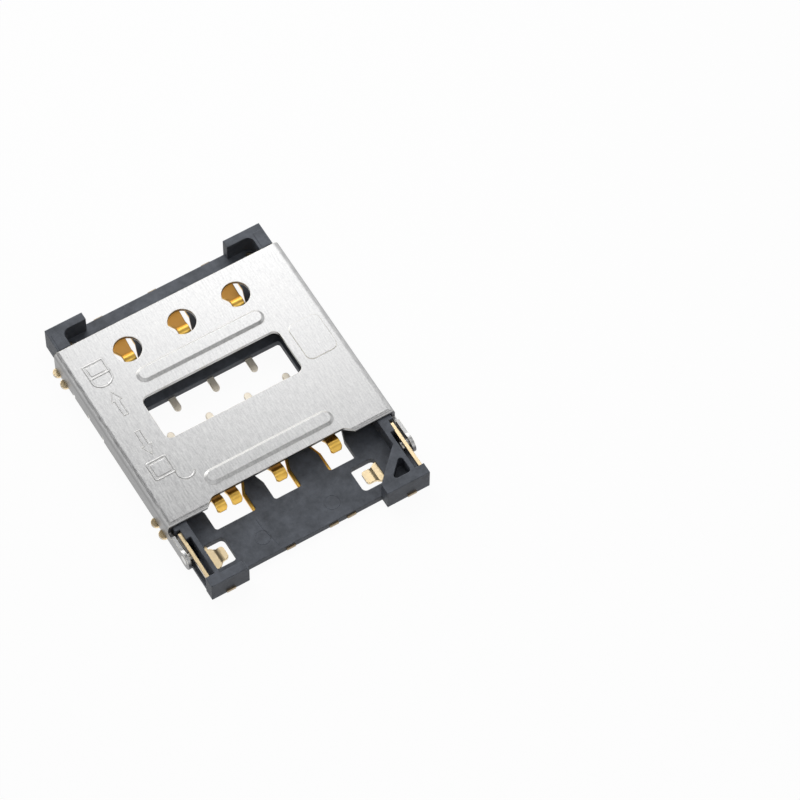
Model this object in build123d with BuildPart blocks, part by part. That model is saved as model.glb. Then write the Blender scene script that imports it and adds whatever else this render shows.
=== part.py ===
"""SIM card socket for a board: moulded housing, hinged and sliding steel lid, seven spring contacts."""
from build123d import *
import os

os.makedirs("parts", exist_ok=True)

# The frame: X across the contact columns, +Y towards the locking end, Z up from the board.
LEFT = -1
RIGHT = 1

# The card and the contact pattern that the socket is made for
card_width = 8.8
card_clearance = 0.05
contact_pitch = 2.54
row_spacing = 7.73
far_root_inset = 0.87
contact_shift = -0.08

# Moulded housing
housing_width = 10.1
housing_length = 13.6
floor_height = 0.32
wall_height = 1.10
far_block_height = 1.25
floor_far_inset = 0.08
floor_near_inset = 0.41
block_end_x = 3.33
far_bar_depth = 0.36
near_bar_depth = 0.40
near_step_width = 0.12
near_step_drop = 0.15
near_right_block_x = 3.08
key_slope_start = 0.10
key_slope_run = 1.36
core_wall = 0.22
core_floor = 0.40
core_round = 0.13
corner_round = 0.30
centre_window_width = 6.70
centre_window_depth = 2.00
centre_window_shift = -0.17
centre_window_near_y = 0.0
window_round = 0.12

# Strip metal of the contacts and frames, its level inside the floor and how far its edges are buried
strip_thickness = 0.12
strip_level = 0.10
strip_grip = 0.12
stub_width = 0.40
stub_reach = 0.08

# Spring contacts
window_wide = 1.64
window_narrow = 1.24
window_length = 2.52
shoulder_start = 1.00
shoulder_end = 1.60
rim_width = 0.13
root_bar_depth = 0.30
beam_width = 0.92
beam_tip_width = 0.52
beam_flat = 0.45
beam_reach = 1.80
beam_height = 1.04
beam_curl = 0.27
beam_bend_radius = 0.30
beam_tip_chamfer = 0.10

# The left window of the near row holds two narrow beams: one contact and the card switch
pair_shift = 0.12
pair_pitch = 0.96
pair_tip_pitch = 0.70
pair_beam_width = 0.74
pair_tip_width = 0.46
pair_window_wide = 2.43
pair_window_narrow = 1.87

# Solder tails in the central window
tail_pitch = 1.80
tail_width = 0.30
tail_reach = 0.65
tail_inset = 0.24

# Punched holes that part the strips after moulding, and their round wells in the underside
far_punch_offset = -2.93
near_punch_offset = 0.82
near_punch_offsets = (-3.81, -2.32, -0.58, 1.29, 3.81)
punch_diameter = 0.44
punch_gap = 0.56
punch_bar = 0.26
well_diameter = 1.12
plate_half_depth = 0.46

# Sides of the small repeated holes, few so that the facets stay few
small_hole_sides = 16

# Holes left by the pins that hold the strips in the mould, and the mark of the gate
pin_mark_diameter = 0.35
side_mark_x = 4.18
side_mark_inset = 0.65
lower_mark_y = (4.30, 0.88, -2.93)
near_mark_inset = 1.67
near_strip_x = (-1.20, 0.80, 1.62)
gate_diameter = 0.72
gate_depth = 0.06
gate_x = -0.10
gate_inset = 1.70

# Side frames with their solder anchors and tongues
frame_inner_x = 4.12
frame_outer_x = 4.42
frame_stub_x = 4.20
frame_stub_length = 0.60
anchor_length = 1.08
anchor_far_inset = 1.68
anchor_near_inset = 3.83
anchor_reach = 5.47
anchor_well_x = 4.56
anchor_well_extra = 0.40
anchor_well_roof = 0.30
lobe_radius = 0.22
lobe_pitch = 0.62
tongue_inset = 1.47
tongue_root_width = 0.94
tongue_tip_width = 0.60
tongue_rise = 0.09
tongue_taper = (0.12, 0.45)
tongue_bend = (0.35, 0.58)
tongue_round = 0.14
side_window_depth = 1.20
side_window_inset = 1.53
side_window_round = 0.20
left_window_x = (-4.34, -3.33)
right_window_x = (3.66, 2.54)
left_tongue_tip = -3.57
right_tongue_tip = 2.86

# Lid of bent sheet steel
lid_sheet = 0.15
lid_side_gap = 0.08
lid_top_gap = 0.05
lid_end_gap = 0.05
lid_far_inset = 1.18
lid_corner_inset = 3.09
lid_setback = 0.34
lid_setback_width = 6.10
lid_setback_ramp = 0.40
lid_setback_round = 0.25
lid_bend_radius = 0.10
lid_corner_round = 0.18
lid_hole_diameter = 1.20
lid_hole_reach = 1.64
lid_hole_shift = 0.04
rib_length = 5.90
rib_width = 0.74
rib_height = 0.10
rib_taper = 50
rib_wall_step = 0.06
far_rib_y = 2.90
near_rib_y = -2.61
rib_shift = 0.12
lid_window_width = 6.37
lid_window_near_y = -0.22
lid_window_far_y = 2.00
lid_window_shift = -0.10
lid_window_round = 0.30
pad_width = 1.41
pad_length = 1.86
pad_x = 4.175
pad_y = 0.94
pad_step = 0.02
pad_round = 0.30
skirt_notch_y = 4.02
skirt_notch_width = 0.16
skirt_notch_height = 0.20

# Hinge: pins on the lid's arms run under the bar of each hinge bridge
pin_inset = 1.85
pin_z = 0.60
pin_diameter = 0.38
pin_clearance = 0.03
pin_fit = 0.01
pin_reach = 0.38
pin_edge = 0.05
arm_radius = 0.38
arm_end_radius = 0.44
arm_neck_length = 0.30
arm_neck_drop = 0.20
unlock_travel = 1.15
bridge_sheet = 0.15
bridge_skin = 0.05
bridge_top = 0.99
bridge_round = 0.15
bridge_foot_length = 2.18
bridge_foot_width = 0.30
bridge_foot_height = 0.13
bridge_foot_chamfer = 0.10
bridge_scallop_radius = 0.28
bridge_scallop_reach = 0.86
channel_width = 0.22
channel_floor = 0.36
channel_far_reach = 0.54
channel_pocket_floor = 0.20
channel_pocket_length = 0.72

# Lock tabs of the lid and their pockets in the housing's sides
tab_length = 1.06
tab_y = 2.19
tab_reach = 0.20
tab_relief = 0.12
tab_relief_height = 0.30
pocket_depth = 0.22
pocket_end_gap = 0.05
ledge_z = 0.50

# Worked out from the values above
half_width = housing_width / 2
half_length = housing_length / 2
pocket_half_width = card_width / 2 + card_clearance
strip_top = strip_level + strip_thickness
far_root_y = half_length - far_root_inset
near_root_y = far_root_y - row_spacing
far_punch_y = far_root_y + far_punch_offset
near_punch_y = near_root_y + near_punch_offset
far_mark_y = half_length - side_mark_inset
near_mark_y = near_mark_inset - half_length
gate_y = gate_inset - half_length
side_window_y = side_window_inset - half_length
tongue_y = tongue_inset - half_length
lid_far_y = half_length - lid_far_inset
lid_corner_y = lid_corner_inset - half_length
lid_hole_y = far_root_y - lid_hole_reach
pin_y = pin_inset - half_length
floor_far_y = half_length - floor_far_inset
floor_near_y = floor_near_inset - half_length
lid_inner_x = half_width + lid_side_gap
lid_outer_x = lid_inner_x + lid_sheet
lid_under = wall_height + lid_top_gap
lid_top = lid_under + lid_sheet
skirt_bottom = pin_z - arm_radius
arm_top = pin_z + arm_radius
arm_bottom = pin_z - arm_end_radius
column_x = [contact_shift + contact_pitch * k for k in (-1, 0, 1)]
pair_x = column_x[0] + pair_shift
far_tail_x = [contact_shift + tail_pitch * k for k in (-1, 0, 1)]
near_tail_x = [contact_shift + tail_pitch * k for k in (-1.5, -0.5, 0.5, 1.5)]
far_punch_x = [contact_shift + contact_pitch * k for k in (-1.5, -0.5, 0.5, 1.5)]
near_punch_x = [contact_shift + offset_x for offset_x in near_punch_offsets]
centre_window_far_y = centre_window_near_y + centre_window_depth
anchor_y = (half_length - anchor_far_inset, anchor_near_inset - half_length)
tab_near_y = tab_y - tab_length / 2
tab_far_y = tab_y + tab_length / 2
slot_top = pin_z + pin_diameter / 2 + pin_clearance
slot_far_y = pin_y + pin_diameter / 2 + pin_clearance
slot_near_y = pin_y - unlock_travel - pin_diameter / 2 - pin_clearance
bridge_outer_x = half_width - bridge_skin
bridge_inner_x = bridge_outer_x - bridge_sheet
bridge_near_y = slot_near_y - bridge_sheet
bridge_foot_far_y = bridge_near_y + bridge_foot_length
bridge_scallop_y = pin_y - bridge_scallop_reach
channel_far_y = pin_y + channel_far_reach
channel_pocket_near_y = channel_far_y - channel_pocket_length
bridge_far_y = anchor_y[1] - anchor_length / 2 - anchor_well_extra
key_corner_y = floor_near_y + key_slope_start + key_slope_run


def box_face(x0, x1, y0, y1):
    """Rectangle in the open sketch, given by its four edges."""
    with Locations(((x0 + x1) / 2, (y0 + y1) / 2)):
        Rectangle(abs(x1 - x0), abs(y1 - y0))


def disc(x, y, diameter):
    """Circle in the open sketch."""
    with Locations((x, y)):
        Circle(diameter / 2)


def small_hole(x, y, diameter):
    """Outline of a small repeated hole in the open sketch, with flat sides in place of a circle."""
    with Locations((x, y)):
        RegularPolygon(diameter / 2, small_hole_sides)


def polygon(points):
    """Closed face through the points, in the open sketch."""
    with BuildLine() as outline:
        Polyline(*points, close=True)
    make_face(outline.edges())


def bottle_points(centre, wide, narrow, root_y, margin=0.0):
    """Corners of a contact window, wide at the root and narrow under the tip, grown by a margin."""
    half_wide = wide / 2 + margin
    half_narrow = narrow / 2 + margin
    shoulder_y = root_y - shoulder_start
    neck_y = root_y - shoulder_end
    end_y = root_y - window_length - margin
    return [
        (centre - half_wide, root_y + margin),
        (centre + half_wide, root_y + margin),
        (centre + half_wide, shoulder_y),
        (centre + half_narrow, neck_y),
        (centre + half_narrow, end_y),
        (centre - half_narrow, end_y),
        (centre - half_narrow, neck_y),
        (centre - half_wide, shoulder_y),
    ]


def spring_beam(root_x, tip_x, root_y, root_width, tip_width):
    """One bent spring beam that rises from its root to a rounded crest and curls down at its tip."""
    middle_z = strip_level + strip_thickness / 2
    crest_y = root_y - beam_reach
    tip_y = crest_y - beam_curl
    end_y = tip_y - strip_thickness / 2
    neck_y = crest_y + beam_curl
    taper_y = root_y - beam_flat - root_bar_depth / 2
    with BuildPart() as beam:
        with BuildSketch(Plane.YZ.offset(root_x)):
            with BuildLine():
                FilletPolyline(
                    (root_y - root_bar_depth / 2, middle_z),
                    (root_y - beam_flat, middle_z),
                    (crest_y, beam_height),
                    (tip_y, beam_height - beam_curl),
                    radius=beam_bend_radius,
                )
                offset(amount=strip_thickness / 2, side=Side.BOTH, closed=True, mode=Mode.REPLACE)
            make_face()
        extrude(amount=root_width + abs(tip_x - root_x), both=True)
        with BuildSketch():
            polygon([
                (root_x - root_width / 2, root_y),
                (root_x + root_width / 2, root_y),
                (root_x + root_width / 2, taper_y),
                (tip_x + tip_width / 2, neck_y),
                (tip_x + tip_width / 2, end_y + beam_tip_chamfer),
                (tip_x + tip_width / 2 - beam_tip_chamfer, end_y),
                (tip_x - tip_width / 2 + beam_tip_chamfer, end_y),
                (tip_x - tip_width / 2, end_y + beam_tip_chamfer),
                (tip_x - tip_width / 2, neck_y),
                (root_x - root_width / 2, taper_y),
            ])
        extrude(amount=lid_under, mode=Mode.INTERSECT)
    return beam.part


def tail(tail_x, plate_edge_y, window_edge_y, direction):
    """Solder tail in the open part: it steps down to the board inside the moulding and ends round."""
    left_x = tail_x - tail_width / 2
    right_x = tail_x + tail_width / 2
    foot_y = window_edge_y - direction * tail_inset
    step_y = foot_y + direction * strip_thickness
    round_y = window_edge_y + direction * (tail_reach - tail_width / 2)
    with BuildSketch(Plane.XY.offset(strip_level)) as neck:
        box_face(left_x, right_x, plate_edge_y, step_y)
    extrude(neck.sketch, amount=strip_thickness)
    with BuildSketch() as step:
        box_face(left_x, right_x, foot_y, step_y)
    extrude(step.sketch, amount=strip_top)
    with BuildSketch() as foot:
        box_face(left_x, right_x, foot_y, round_y)
        disc(tail_x, round_y, tail_width)
    extrude(foot.sketch, amount=strip_thickness)


def punch(centre_x, centre_y):
    """Punched hole that parts the link bar between two strips, cut from the open part."""
    with BuildSketch() as hole:
        small_hole(centre_x, centre_y, punch_diameter)
    extrude(hole.sketch, amount=floor_height, mode=Mode.SUBTRACT)


# Contacts of the far row: a rim round the window, the beam, a carrier stub and a solder tail
far_contacts = []
for index, centre in enumerate(column_x):
    beam_part = spring_beam(centre, centre, far_root_y, beam_width, beam_tip_width)
    left_punch_x, right_punch_x = far_punch_x[index:index + 2]
    left_edge = left_punch_x + punch_gap / 2
    right_edge = right_punch_x - punch_gap / 2
    plate_near_y = far_punch_y - plate_half_depth
    narrow_end_y = far_root_y - window_length
    with BuildPart() as contact:
        with BuildSketch(Plane.XY.offset(strip_level)):
            polygon(bottle_points(centre, window_wide, window_narrow, far_root_y, strip_grip))
            box_face(left_edge, right_edge, plate_near_y, far_punch_y + plate_half_depth)
            box_face(left_punch_x, right_punch_x, far_punch_y - punch_bar / 2, far_punch_y + punch_bar / 2)
            box_face(centre - window_narrow / 2, centre + window_narrow / 2, plate_near_y, narrow_end_y)
            box_face(centre - stub_width / 2, centre + stub_width / 2, far_root_y, floor_far_y + stub_reach)
            with BuildSketch(mode=Mode.PRIVATE) as inside:
                polygon(bottle_points(centre, window_wide, window_narrow, far_root_y, -rim_width))
            add(inside.sketch, mode=Mode.SUBTRACT)
            box_face(
                centre - beam_width / 2, centre + beam_width / 2,
                far_root_y - root_bar_depth, far_root_y,
            )
        extrude(amount=strip_thickness)
        add(beam_part)
        tail(far_tail_x[index], plate_near_y, centre_window_far_y, -1)
        punch(left_punch_x, far_punch_y)
        punch(right_punch_x, far_punch_y)
    far_contacts.append(contact.part)


def near_contact(root_x, tip_x, width, tip_width, slot, strip):
    """Contact of the near row: a plate, its beam, its tail and, where strip says so, a side strip."""
    beam_part = spring_beam(root_x, tip_x, near_root_y, width, tip_width)
    left_punch_x, right_punch_x = near_punch_x[slot:slot + 2]
    left_edge = left_punch_x + punch_gap / 2
    right_edge = right_punch_x - punch_gap / 2
    plate_far_y = near_punch_y + plate_half_depth
    bar_far_y = near_root_y + root_bar_depth
    with BuildPart() as contact:
        with BuildSketch(Plane.XY.offset(strip_level)):
            box_face(left_edge, right_edge, near_root_y, plate_far_y)
            box_face(left_punch_x, right_punch_x, near_punch_y - punch_bar / 2, near_punch_y + punch_bar / 2)
            box_face(root_x - width / 2, root_x + width / 2, near_root_y - root_bar_depth, bar_far_y)
            if strip:
                wide_x, narrow_x, inward, stub_x = strip
                shoulder_y = near_root_y - shoulder_start
                neck_y = near_root_y - shoulder_end
                end_y = near_root_y - window_length
                run_y = end_y - stub_width
                buried = -inward * strip_grip
                shown = inward * rim_width
                polygon([
                    (wide_x + buried, bar_far_y),
                    (wide_x + buried, shoulder_y),
                    (narrow_x + buried, neck_y),
                    (narrow_x + buried, end_y),
                    (stub_x - inward * stub_width / 2, run_y),
                    (stub_x - inward * stub_width / 2, floor_near_y - stub_reach),
                    (stub_x + inward * stub_width / 2, floor_near_y - stub_reach),
                    (stub_x + inward * stub_width / 2, run_y),
                    (narrow_x + shown, end_y),
                    (narrow_x + shown, neck_y),
                    (wide_x + shown, shoulder_y),
                    (wide_x + shown, bar_far_y),
                ])
        extrude(amount=strip_thickness)
        add(beam_part)
        tail(near_tail_x[slot], plate_far_y, centre_window_near_y, 1)
        punch(left_punch_x, near_punch_y)
        punch(right_punch_x, near_punch_y)
    return contact.part


# Contacts of the near row, with the card switch at the far left
switch_contact = near_contact(
    pair_x - pair_pitch / 2, pair_x - pair_tip_pitch / 2, pair_beam_width, pair_tip_width, 0, None
)
near_contacts = [
    near_contact(
        pair_x + pair_pitch / 2, pair_x + pair_tip_pitch / 2, pair_beam_width, pair_tip_width, 1,
        (pair_x + pair_window_wide / 2, pair_x + pair_window_narrow / 2, -1, near_strip_x[0]),
    ),
    near_contact(
        column_x[1], column_x[1], beam_width, beam_tip_width, 2,
        (column_x[1] + window_wide / 2, column_x[1] + window_narrow / 2, -1, near_strip_x[1]),
    ),
    near_contact(
        column_x[2], column_x[2], beam_width, beam_tip_width, 3,
        (column_x[2] - window_wide / 2, column_x[2] - window_narrow / 2, 1, near_strip_x[2]),
    ),
]


def side_frame(side, far_punch_at, near_punch_at, tongue_root, tongue_tip):
    """Frame strip along one side, with two solder anchors and a tongue in the side window."""
    foot_x = half_width - strip_thickness
    tongue_length = tongue_tip - tongue_root
    wide_x, narrow_x = (tongue_root + tongue_length * share for share in tongue_taper)
    bend_x, rise_x = (tongue_root + tongue_length * share for share in tongue_bend)
    middle_z = strip_level + strip_thickness / 2
    with BuildPart() as tongue:
        with BuildSketch(Plane.XZ.offset(-tongue_y)):
            with BuildLine():
                FilletPolyline(
                    (tongue_root + side * strip_grip, middle_z),
                    (bend_x, middle_z),
                    (rise_x, middle_z + tongue_rise),
                    (tongue_tip, middle_z + tongue_rise),
                    radius=strip_thickness,
                )
                offset(amount=strip_thickness / 2, side=Side.BOTH, closed=True, mode=Mode.REPLACE)
            make_face()
        extrude(amount=tongue_root_width / 2, both=True)
        with BuildSketch() as plan:
            polygon([
                (tongue_root + side * strip_grip, tongue_y - tongue_root_width / 2),
                (wide_x, tongue_y - tongue_root_width / 2),
                (narrow_x, tongue_y - tongue_tip_width / 2),
                (tongue_tip, tongue_y - tongue_tip_width / 2),
                (tongue_tip, tongue_y + tongue_tip_width / 2),
                (narrow_x, tongue_y + tongue_tip_width / 2),
                (wide_x, tongue_y + tongue_root_width / 2),
                (tongue_root + side * strip_grip, tongue_y + tongue_root_width / 2),
            ])
            tip_corners = plan.vertices().filter_by(lambda corner: abs(corner.X - tongue_tip) < strip_level)
            fillet(tip_corners, tongue_round)
        extrude(amount=wall_height, mode=Mode.INTERSECT)
    with BuildPart() as frame:
        with BuildSketch(Plane.XY.offset(strip_level)):
            box_face(
                side * frame_inner_x, side * frame_outer_x,
                frame_stub_length - half_length, far_mark_y + stub_width / 2,
            )
            box_face(
                side * (frame_stub_x - stub_width / 2), side * (frame_stub_x + stub_width / 2),
                -half_length - stub_reach, frame_stub_length - half_length,
            )
            for seat_y in anchor_y:
                box_face(
                    side * frame_inner_x, side * foot_x,
                    seat_y - anchor_length / 2, seat_y + anchor_length / 2,
                )
            for hole_x, hole_y in ((far_punch_at, far_punch_y), (near_punch_at, near_punch_y)):
                box_face(side * frame_outer_x, hole_x, hole_y - punch_bar / 2, hole_y + punch_bar / 2)
            box_face(
                side * frame_outer_x, tongue_root,
                tongue_y - tongue_root_width / 2, tongue_y + tongue_root_width / 2,
            )
        extrude(amount=strip_thickness)
        for seat_y in anchor_y:
            low_y = seat_y - anchor_length / 2
            high_y = seat_y + anchor_length / 2
            with BuildSketch():
                box_face(side * (foot_x - strip_thickness), side * foot_x, low_y, high_y)
            extrude(amount=strip_top)
            lobe_x = side * (anchor_reach - lobe_radius)
            with BuildSketch():
                box_face(side * (foot_x - strip_thickness), lobe_x, low_y, high_y)
                for lobe in (-1, 1):
                    disc(lobe_x, seat_y + lobe * lobe_pitch / 2, 2 * lobe_radius)
            extrude(amount=strip_thickness)
        outer_bends = (
            frame.edges().filter_by(Axis.Y)
            .filter_by(lambda edge: abs(edge.center().Z - strip_top) < strip_level / 10)
            .filter_by(lambda edge: abs(abs(edge.center().X) - foot_x) < strip_level / 10)
        )
        fillet(outer_bends, strip_thickness * 0.8)
        add(tongue.part)
        punch(far_punch_at, far_punch_y)
        punch(near_punch_at, near_punch_y)
    return frame.part


side_frames = {
    LEFT: side_frame(LEFT, far_punch_x[0], near_punch_x[0], -frame_inner_x, left_tongue_tip),
    RIGHT: side_frame(RIGHT, far_punch_x[-1], near_punch_x[-1], right_window_x[0], right_tongue_tip),
}


def foot_notch(side):
    """Outboard opening of a bridge's foot, in the open sketch: a slot with a scallop for the pin."""
    box_face(side * bridge_inner_x, side * half_width, slot_near_y, slot_far_y)
    disc(side * half_width, bridge_scallop_y, 2 * bridge_scallop_radius)


def hinge_bridge(side):
    """Bent strip with a foot on the board and an upright wall, whose bar keeps the pin down."""
    with BuildPart() as bridge:
        with BuildSketch() as foot:
            box_face(
                side * (bridge_outer_x - bridge_foot_width), side * bridge_outer_x,
                bridge_near_y, bridge_foot_far_y,
            )
            inner_corners = foot.vertices().group_by(Axis.X)[-1 if side == LEFT else 0]
            chamfer(inner_corners, bridge_foot_chamfer)
        extrude(amount=bridge_foot_height)
        with BuildSketch(Plane.YZ.offset(side * bridge_inner_x)) as wall:
            box_face(bridge_near_y, bridge_far_y, 0, bridge_top)
            upper_corners = wall.vertices().group_by(Axis.Z)[-1]
            fillet(upper_corners, bridge_round)
        extrude(amount=side * bridge_sheet)
        with BuildSketch(Plane.YZ) as slot:
            box_face(slot_near_y, slot_far_y, -slot_top, slot_top)
            fillet(slot.vertices(), pin_diameter / 2)
        extrude(amount=side * half_width, mode=Mode.SUBTRACT)
        with BuildSketch():
            foot_notch(side)
        extrude(amount=bridge_foot_height, mode=Mode.SUBTRACT)
    return bridge.part


hinge_bridges = {side: hinge_bridge(side) for side in (LEFT, RIGHT)}


def hinge_pin(side):
    """Pin set in a lid arm, flush outside, that stands inward through the bridge's slot."""
    with BuildPart() as pin:
        with BuildSketch(Plane.YZ.offset(side * lid_outer_x)):
            disc(pin_y, pin_z, pin_diameter)
        extrude(amount=-side * (lid_sheet + pin_reach))
        inner_face = pin.faces().filter_by(Axis.X).sort_by(Axis.X)[0 if side == RIGHT else -1]
        chamfer(inner_face.edges(), pin_edge)
    return pin.part


hinge_pins = {side: hinge_pin(side) for side in (LEFT, RIGHT)}

# Moulded housing: floor, side walls and corner blocks
with BuildPart() as housing:
    with BuildSketch():
        box_face(-half_width, half_width, floor_near_y, floor_far_y)
        box_face(-block_end_x, -half_width, 0, -half_length)
        box_face(near_right_block_x, half_width, 0, -half_length)
        for side in (LEFT, RIGHT):
            box_face(side * block_end_x, side * half_width, 0, half_length)
    extrude(amount=floor_height)
    with BuildSketch(Plane.XY.offset(floor_height)):
        for side in (LEFT, RIGHT):
            box_face(side * pocket_half_width, side * half_width, -half_length, half_length)
        box_face(-block_end_x, -half_width, -half_length, near_bar_depth - half_length)
        polygon([
            (half_width, -half_length),
            (near_right_block_x, -half_length),
            (near_right_block_x, key_corner_y - key_slope_run),
            (pocket_half_width, key_corner_y),
            (half_width, key_corner_y),
        ])
    extrude(amount=wall_height - floor_height)
    with BuildSketch(Plane.XY.offset(floor_height)):
        for side in (LEFT, RIGHT):
            box_face(side * pocket_half_width, side * half_width, lid_far_y + lid_end_gap, half_length)
            box_face(side * block_end_x, side * half_width, half_length - far_bar_depth, half_length)
    extrude(amount=far_block_height - floor_height)
    inner_corners = (
        housing.edges().filter_by(Axis.Z)
        .filter_by(lambda edge: abs(abs(edge.center().X) - pocket_half_width) < strip_level / 10)
        .filter_by(lambda edge: abs(edge.center().Y - half_length + far_bar_depth) < strip_level / 10)
    )
    fillet(inner_corners, corner_round)

    # Step at the end of the near left bar, and the core pocket of the near right block
    with BuildSketch(Plane.XY.offset(wall_height)):
        box_face(-block_end_x, -block_end_x - near_step_width, -half_length, floor_near_y)
    extrude(amount=-near_step_drop, mode=Mode.SUBTRACT)
    with BuildSketch(Plane.XY.offset(core_floor)) as core:
        core_near_y = core_wall * 2 - half_length
        core_right_x = pocket_half_width
        core_left_x = near_right_block_x + core_wall * 2
        polygon([
            (core_left_x, core_near_y),
            (core_right_x, core_near_y),
            (core_right_x, core_near_y + core_right_x - core_left_x),
        ])
        fillet(core.vertices(), core_round)
    extrude(amount=wall_height - core_floor, mode=Mode.SUBTRACT)

    # Central window and side windows
    with BuildSketch() as centre_window:
        box_face(
            centre_window_shift - centre_window_width / 2, centre_window_shift + centre_window_width / 2,
            centre_window_near_y, centre_window_far_y,
        )
        fillet(centre_window.vertices(), window_round)
    extrude(amount=floor_height, mode=Mode.SUBTRACT)
    with BuildSketch() as side_windows:
        for window_x in (left_window_x, right_window_x):
            box_face(*window_x, side_window_y - side_window_depth / 2, side_window_y + side_window_depth / 2)
        fillet(side_windows.vertices(), side_window_round)
    extrude(amount=floor_height, mode=Mode.SUBTRACT)

    # Contact windows: the full outline below the strips, and above them the far row keeps a rim
    with BuildSketch():
        for centre in column_x:
            polygon(bottle_points(centre, window_wide, window_narrow, far_root_y))
    extrude(amount=strip_top, mode=Mode.SUBTRACT)
    with BuildSketch():
        for centre in column_x:
            polygon(bottle_points(centre, window_wide, window_narrow, far_root_y, -rim_width))
    extrude(amount=floor_height, mode=Mode.SUBTRACT)
    with BuildSketch() as near_windows:
        polygon(bottle_points(pair_x, pair_window_wide, pair_window_narrow, near_root_y))
        for centre in column_x[1:]:
            polygon(bottle_points(centre, window_wide, window_narrow, near_root_y))
        near_corners = near_windows.vertices().group_by(Axis.Y)[0]
        fillet(near_corners, window_round)
    extrude(amount=floor_height, mode=Mode.SUBTRACT)

    # Wells below the punched holes, mould pin holes and the gate mark
    punch_places = [(x, far_punch_y) for x in far_punch_x] + [(x, near_punch_y) for x in near_punch_x]
    with BuildSketch():
        for x, y in punch_places:
            small_hole(x, y, well_diameter)
    extrude(amount=strip_level, mode=Mode.SUBTRACT)
    with BuildSketch():
        for x, y in punch_places:
            small_hole(x, y, punch_diameter)
        for side in (LEFT, RIGHT):
            small_hole(side * side_mark_x, far_mark_y, pin_mark_diameter)
    extrude(amount=floor_height, mode=Mode.SUBTRACT)
    with BuildSketch():
        for x in near_strip_x:
            small_hole(x, near_mark_y, pin_mark_diameter)
        for y in lower_mark_y:
            for side in (LEFT, RIGHT):
                small_hole(side * side_mark_x, y, pin_mark_diameter)
    extrude(amount=strip_level, mode=Mode.SUBTRACT)
    with BuildSketch():
        small_hole(gate_x, gate_y, gate_diameter)
    extrude(amount=gate_depth, mode=Mode.SUBTRACT)

    for side in (LEFT, RIGHT):
        # Open seat of the hinge bridge and the channel that the pin's end runs in
        with BuildSketch(Plane.XY.offset(channel_floor)):
            box_face(side * bridge_inner_x, side * half_width, slot_near_y, bridge_far_y)
        extrude(amount=wall_height - channel_floor, mode=Mode.SUBTRACT)
        with BuildSketch():
            foot_notch(side)
        extrude(amount=bridge_foot_height, mode=Mode.SUBTRACT)
        channel_inner_x = side * (bridge_inner_x - channel_width)
        with BuildSketch(Plane.XY.offset(channel_floor)):
            box_face(channel_inner_x, side * bridge_inner_x, slot_near_y, channel_far_y)
        extrude(amount=wall_height - channel_floor, mode=Mode.SUBTRACT)
        with BuildSketch(Plane.XY.offset(channel_pocket_floor)):
            box_face(channel_inner_x, side * bridge_inner_x, channel_pocket_near_y, channel_far_y)
        extrude(amount=channel_floor - channel_pocket_floor, mode=Mode.SUBTRACT)

        # Wells of the solder anchors
        with BuildSketch():
            for seat_y in anchor_y:
                well_near_y = seat_y - anchor_length / 2 - anchor_well_extra
                box_face(side * anchor_well_x, side * half_width, well_near_y, seat_y + anchor_length / 2)
        extrude(amount=anchor_well_roof, mode=Mode.SUBTRACT)

        # Lock pocket: a notch that the tab drops through, and a ledge that it slides under
        pocket_x = side * (half_width - pocket_depth)
        notch_far_y = tab_near_y - pocket_end_gap
        notch_near_y = tab_near_y - unlock_travel - pocket_end_gap
        with BuildSketch():
            box_face(pocket_x, side * half_width, notch_near_y, notch_far_y)
        extrude(amount=wall_height, mode=Mode.SUBTRACT)
        with BuildSketch():
            box_face(pocket_x, side * half_width, notch_far_y, tab_far_y + pocket_end_gap)
        extrude(amount=ledge_z, mode=Mode.SUBTRACT)

    # Seats of everything moulded in
    strips = [*far_contacts, switch_contact, *near_contacts, *side_frames.values()]
    for insert in [*strips, *hinge_bridges.values()]:
        add(insert, mode=Mode.SUBTRACT)

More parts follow.
